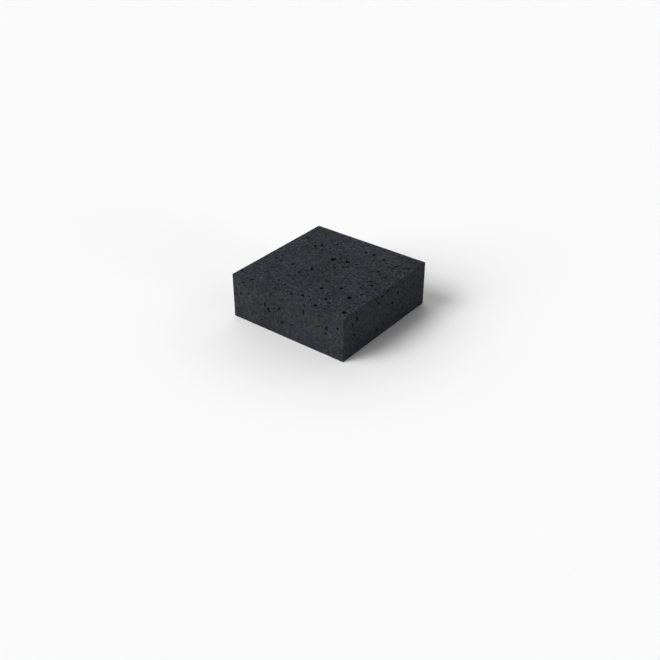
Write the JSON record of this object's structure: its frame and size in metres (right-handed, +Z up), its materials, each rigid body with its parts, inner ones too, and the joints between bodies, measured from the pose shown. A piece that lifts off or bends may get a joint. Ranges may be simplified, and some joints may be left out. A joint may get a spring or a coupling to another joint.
{
  "type": "concrete paving block",
  "caption": "Square paving block of charcoal-coloured cast concrete with crisp arrises and open air voids on every face.",
  "frame": {"origin": "centre of the square bed face, on the plane that the block rests on", "axes": "+Z up through the thickness to the wearing face, +X and +Y square to two neighbouring side faces, -Y is the picture's left visible side and +X its right visible side"},
  "size_m": [0.2, 0.2, 0.07],
  "materials": {
    "cast_concrete": "matte"
  },
  "bodies": {
    "root": {"paving_block": "cast_concrete"}
  },
  "joints": []
}
